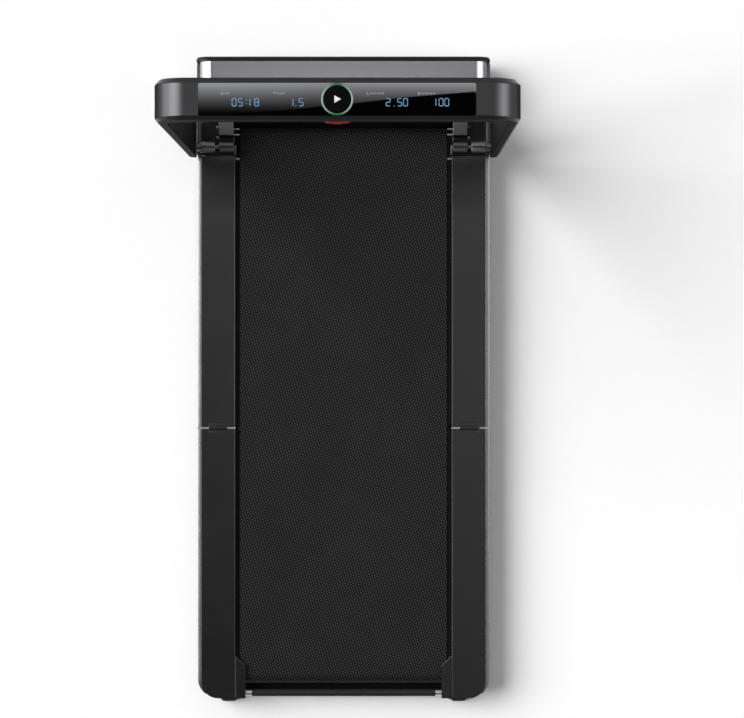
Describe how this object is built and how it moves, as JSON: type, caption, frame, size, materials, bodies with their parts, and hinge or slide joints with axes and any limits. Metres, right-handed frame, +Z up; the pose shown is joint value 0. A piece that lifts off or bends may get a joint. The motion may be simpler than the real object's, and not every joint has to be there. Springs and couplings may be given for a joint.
{
  "type": "walking pad",
  "caption": "Low folding walking treadmill with a hinged deck, a motor hood and a fold-down handrail that carries a glass console with a start button and a pull-off safety key.",
  "frame": {"origin": "on the floor under the middle of the part's box, with the handrail upright", "axes": "+X to the walker's right, +Y to the motor hood (the way the walker faces), +Z up"},
  "size_m": [0.705, 1.4568, 0.901],
  "materials": {
    "frame_steel": "satin black powder coat",
    "rail_plastic": "finely grained moulded plastic",
    "trim_aluminium": "satin anodised, bright",
    "belt_rubber": "fine raised diamond texture",
    "board_wood": "fibreboard with a black waxed face",
    "cushion_rubber": "matt",
    "hood_aluminium": "satin grey anodised",
    "black_plastic": "matt moulded",
    "roller_steel": "turned",
    "motor_steel": "satin",
    "circuit_board": "solder mask",
    "sink_aluminium": "extruded",
    "hinge_metal": "satin dark grey",
    "bolt_steel": "bright zinc",
    "handrail_aluminium": "satin dark grey anodised",
    "console_plastic": "satin moulded",
    "display_glass": "gloss black, backed",
    "ring_light": "pale green lens",
    "button_plastic": "gloss black",
    "key_plastic": "gloss red",
    "wheel_rubber": "matt",
    "foot_rubber": "matt",
    "bar_sleeve": "matt sleeve",
    "bar_steel": "polished",
    "switch_plastic": "gloss black"
  },
  "bodies": {
    "front_deck": {"front_side_members": "frame_steel", "front_cross_members": "frame_steel", "front_cushions": "cushion_rubber", "front_deck_board": "board_wood", "walking_belt_front": "belt_rubber", "fold_leaves_front": "hinge_metal", "fold_pins": "bolt_steel", "front_rail_covers": "rail_plastic", "front_side_trims": "trim_aluminium", "front_feet": "foot_rubber", "base_pan": "frame_steel", "wheel_brackets": "frame_steel", "drive_bearings": "motor_steel", "motor_housing": "motor_steel", "motor_cradle": "black_plastic", "drive_belt": "cushion_rubber", "motor_hood": "hood_aluminium", "front_cap": "black_plastic", "belt_guard": "black_plastic", "power_inlet": "black_plastic", "switch_bezel": "black_plastic", "control_board": "circuit_board", "heat_sink": "sink_aluminium", "hinge_bases": "hinge_metal", "hinge_fasteners": "bolt_steel"},
    "rear_deck": {"rear_side_members": "frame_steel", "rear_cross_members": "frame_steel", "rear_cushions": "cushion_rubber", "rear_deck_board": "board_wood", "walking_belt_rear": "belt_rubber", "fold_leaves_rear": "hinge_metal", "rear_rail_covers": "rail_plastic", "rear_side_trims": "trim_aluminium", "roller_guards": "rail_plastic", "rear_bar": "bar_sleeve", "rear_bar_ends": "bar_steel", "rear_feet": "foot_rubber", "rear_tray": "frame_steel", "idler_shaft": "roller_steel", "idler_brackets": "frame_steel", "tension_screws": "bolt_steel"},
    "drive_roller": {"drive_roller": "roller_steel", "drive_pulley": "motor_steel"},
    "motor_rotor": {"rotor_shaft": "roller_steel", "motor_pulley": "motor_steel", "flywheel": "motor_steel"},
    "idler_roller": {"idler_roller": "roller_steel"},
    "handrail": {"hinge_barrels": "hinge_metal", "handrail_post_left": "handrail_aluminium", "handrail_post_right": "handrail_aluminium", "console_shell": "console_plastic", "console_bottom_cover": "console_plastic", "display_board": "circuit_board", "display_glass": "display_glass", "light_ring": "ring_light"},
    "start_button": {"start_button": "button_plastic"},
    "safety_key": {"safety_key": "key_plastic"},
    "wheel_left": {"transport_wheel_left": "wheel_rubber"},
    "wheel_right": {"transport_wheel_right": "wheel_rubber"},
    "power_switch": {"power_switch": "switch_plastic"}
  },
  "joints": [
    {"name": "deck_fold", "type": "hinge", "parent": "front_deck", "child": "rear_deck", "pos_m": [0, -0.104, 0.0728], "axis": [-1, 0, 0], "range_deg": [0, 180]},
    {"name": "handrail_fold", "type": "hinge", "parent": "front_deck", "child": "handrail", "pos_m": [0, 0.5269, 0.1], "axis": [1, 0, 0], "range_deg": [0, 90]},
    {"name": "drive_spin", "type": "hinge", "parent": "front_deck", "child": "drive_roller", "pos_m": [0, 0.62, 0.0422], "axis": [1, 0, 0], "continuous": true},
    {"name": "motor_spin", "type": "hinge", "parent": "front_deck", "child": "motor_rotor", "pos_m": [0, 0.68, 0.066], "axis": [1, 0, 0], "continuous": true},
    {"name": "idler_spin", "type": "hinge", "parent": "rear_deck", "child": "idler_roller", "pos_m": [0, -0.6597, 0.0422], "axis": [1, 0, 0], "continuous": true},
    {"name": "start_press", "type": "slide", "parent": "handrail", "child": "start_button", "axis": [0, 0, -1], "range_m": [0, 0.0015], "stiffness_N_per_m": 1000, "springref_m": -0.002},
    {"name": "key_pull", "type": "slide", "parent": "handrail", "child": "safety_key", "axis": [0, -1, 0], "range_m": [0, 0.007]},
    {"name": "wheel_left_spin", "type": "hinge", "parent": "front_deck", "child": "wheel_left", "pos_m": [-0.2935, 0.698, 0.018], "axis": [1, 0, 0], "continuous": true},
    {"name": "wheel_right_spin", "type": "hinge", "parent": "front_deck", "child": "wheel_right", "pos_m": [0.2935, 0.698, 0.018], "axis": [1, 0, 0], "continuous": true},
    {"name": "switch_rock", "type": "hinge", "parent": "front_deck", "child": "power_switch", "pos_m": [0.176, 0.7215, 0.052], "axis": [1, 0, 0], "range_deg": [0, 12]}
  ],
  "couplings": [
    {"joint": "motor_spin", "follows": "drive_spin", "ratio": 2.0909},
    {"joint": "idler_spin", "follows": "drive_spin", "ratio": 1}
  ]
}
